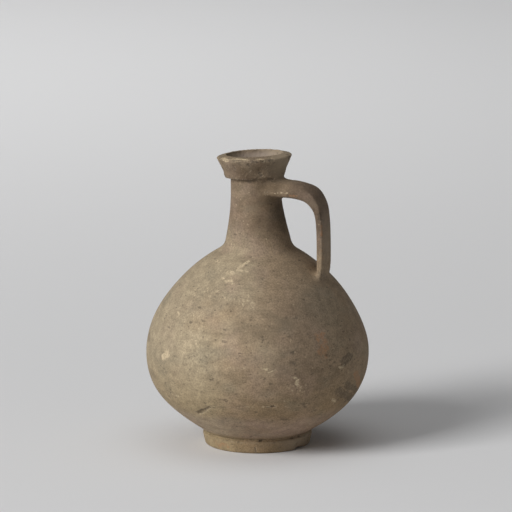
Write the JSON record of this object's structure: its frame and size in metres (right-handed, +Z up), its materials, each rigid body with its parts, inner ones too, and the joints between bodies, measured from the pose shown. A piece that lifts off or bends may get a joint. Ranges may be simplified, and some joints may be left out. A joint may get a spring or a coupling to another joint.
{
  "type": "jug",
  "caption": "One-handled earthenware jug with a round belly, ring foot, slim leaning neck, flared collar mouth and a strap handle for pouring.",
  "frame": {"origin": "centre of the ring foot on the table, which is also the bottom centre of the bounding box", "axes": "+Z up along the turning axis of belly and foot, +X towards the handle, +Y to the left of someone who looks from the mouth along +X"},
  "size_m": [0.1592, 0.1592, 0.2112],
  "materials": {
    "earthenware": "matte, unglazed, worn and stained"
  },
  "bodies": {
    "root": {"jug": "earthenware"}
  },
  "joints": []
}
